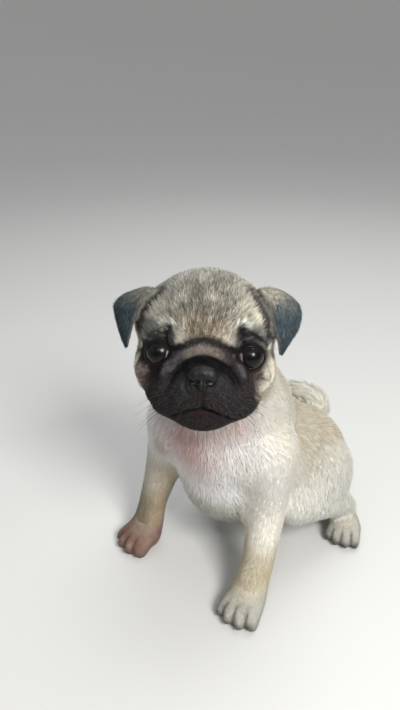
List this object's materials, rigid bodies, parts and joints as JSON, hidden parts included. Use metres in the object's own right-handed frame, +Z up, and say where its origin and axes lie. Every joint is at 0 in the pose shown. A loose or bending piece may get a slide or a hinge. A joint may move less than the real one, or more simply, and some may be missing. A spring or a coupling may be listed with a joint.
{
  "type": "pug puppy",
  "caption": "Life-size still model of a pug puppy sitting on its haunches with its head turned and tail curled.",
  "frame": {"origin": "centre of the bounding box's base, on the floor that the paws and the rump rest on", "axes": "+Z up, -Y the way the chest faces, +X the puppy's left"},
  "size_m": [0.1672, 0.189, 0.2365],
  "materials": {
    "coat": "short soft fawn fur",
    "ear_coat": "velvety dark grey fur",
    "nose_leather": "damp pebbled skin",
    "eye": "wet gloss",
    "claw": "smooth horn"
  },
  "bodies": {
    "root": {"head": "coat", "neck": "coat", "torso": "coat", "tail": "coat", "leg_front_left": "coat", "leg_front_right": "coat", "paw_front_left": "coat", "paw_front_right": "coat", "thigh_left": "coat", "thigh_right": "coat", "paw_hind_left": "coat", "paw_hind_right": "coat", "ear_left": "ear_coat", "ear_right": "ear_coat", "eye_left": "eye", "eye_right": "eye", "nose": "nose_leather"}
  },
  "joints": []
}
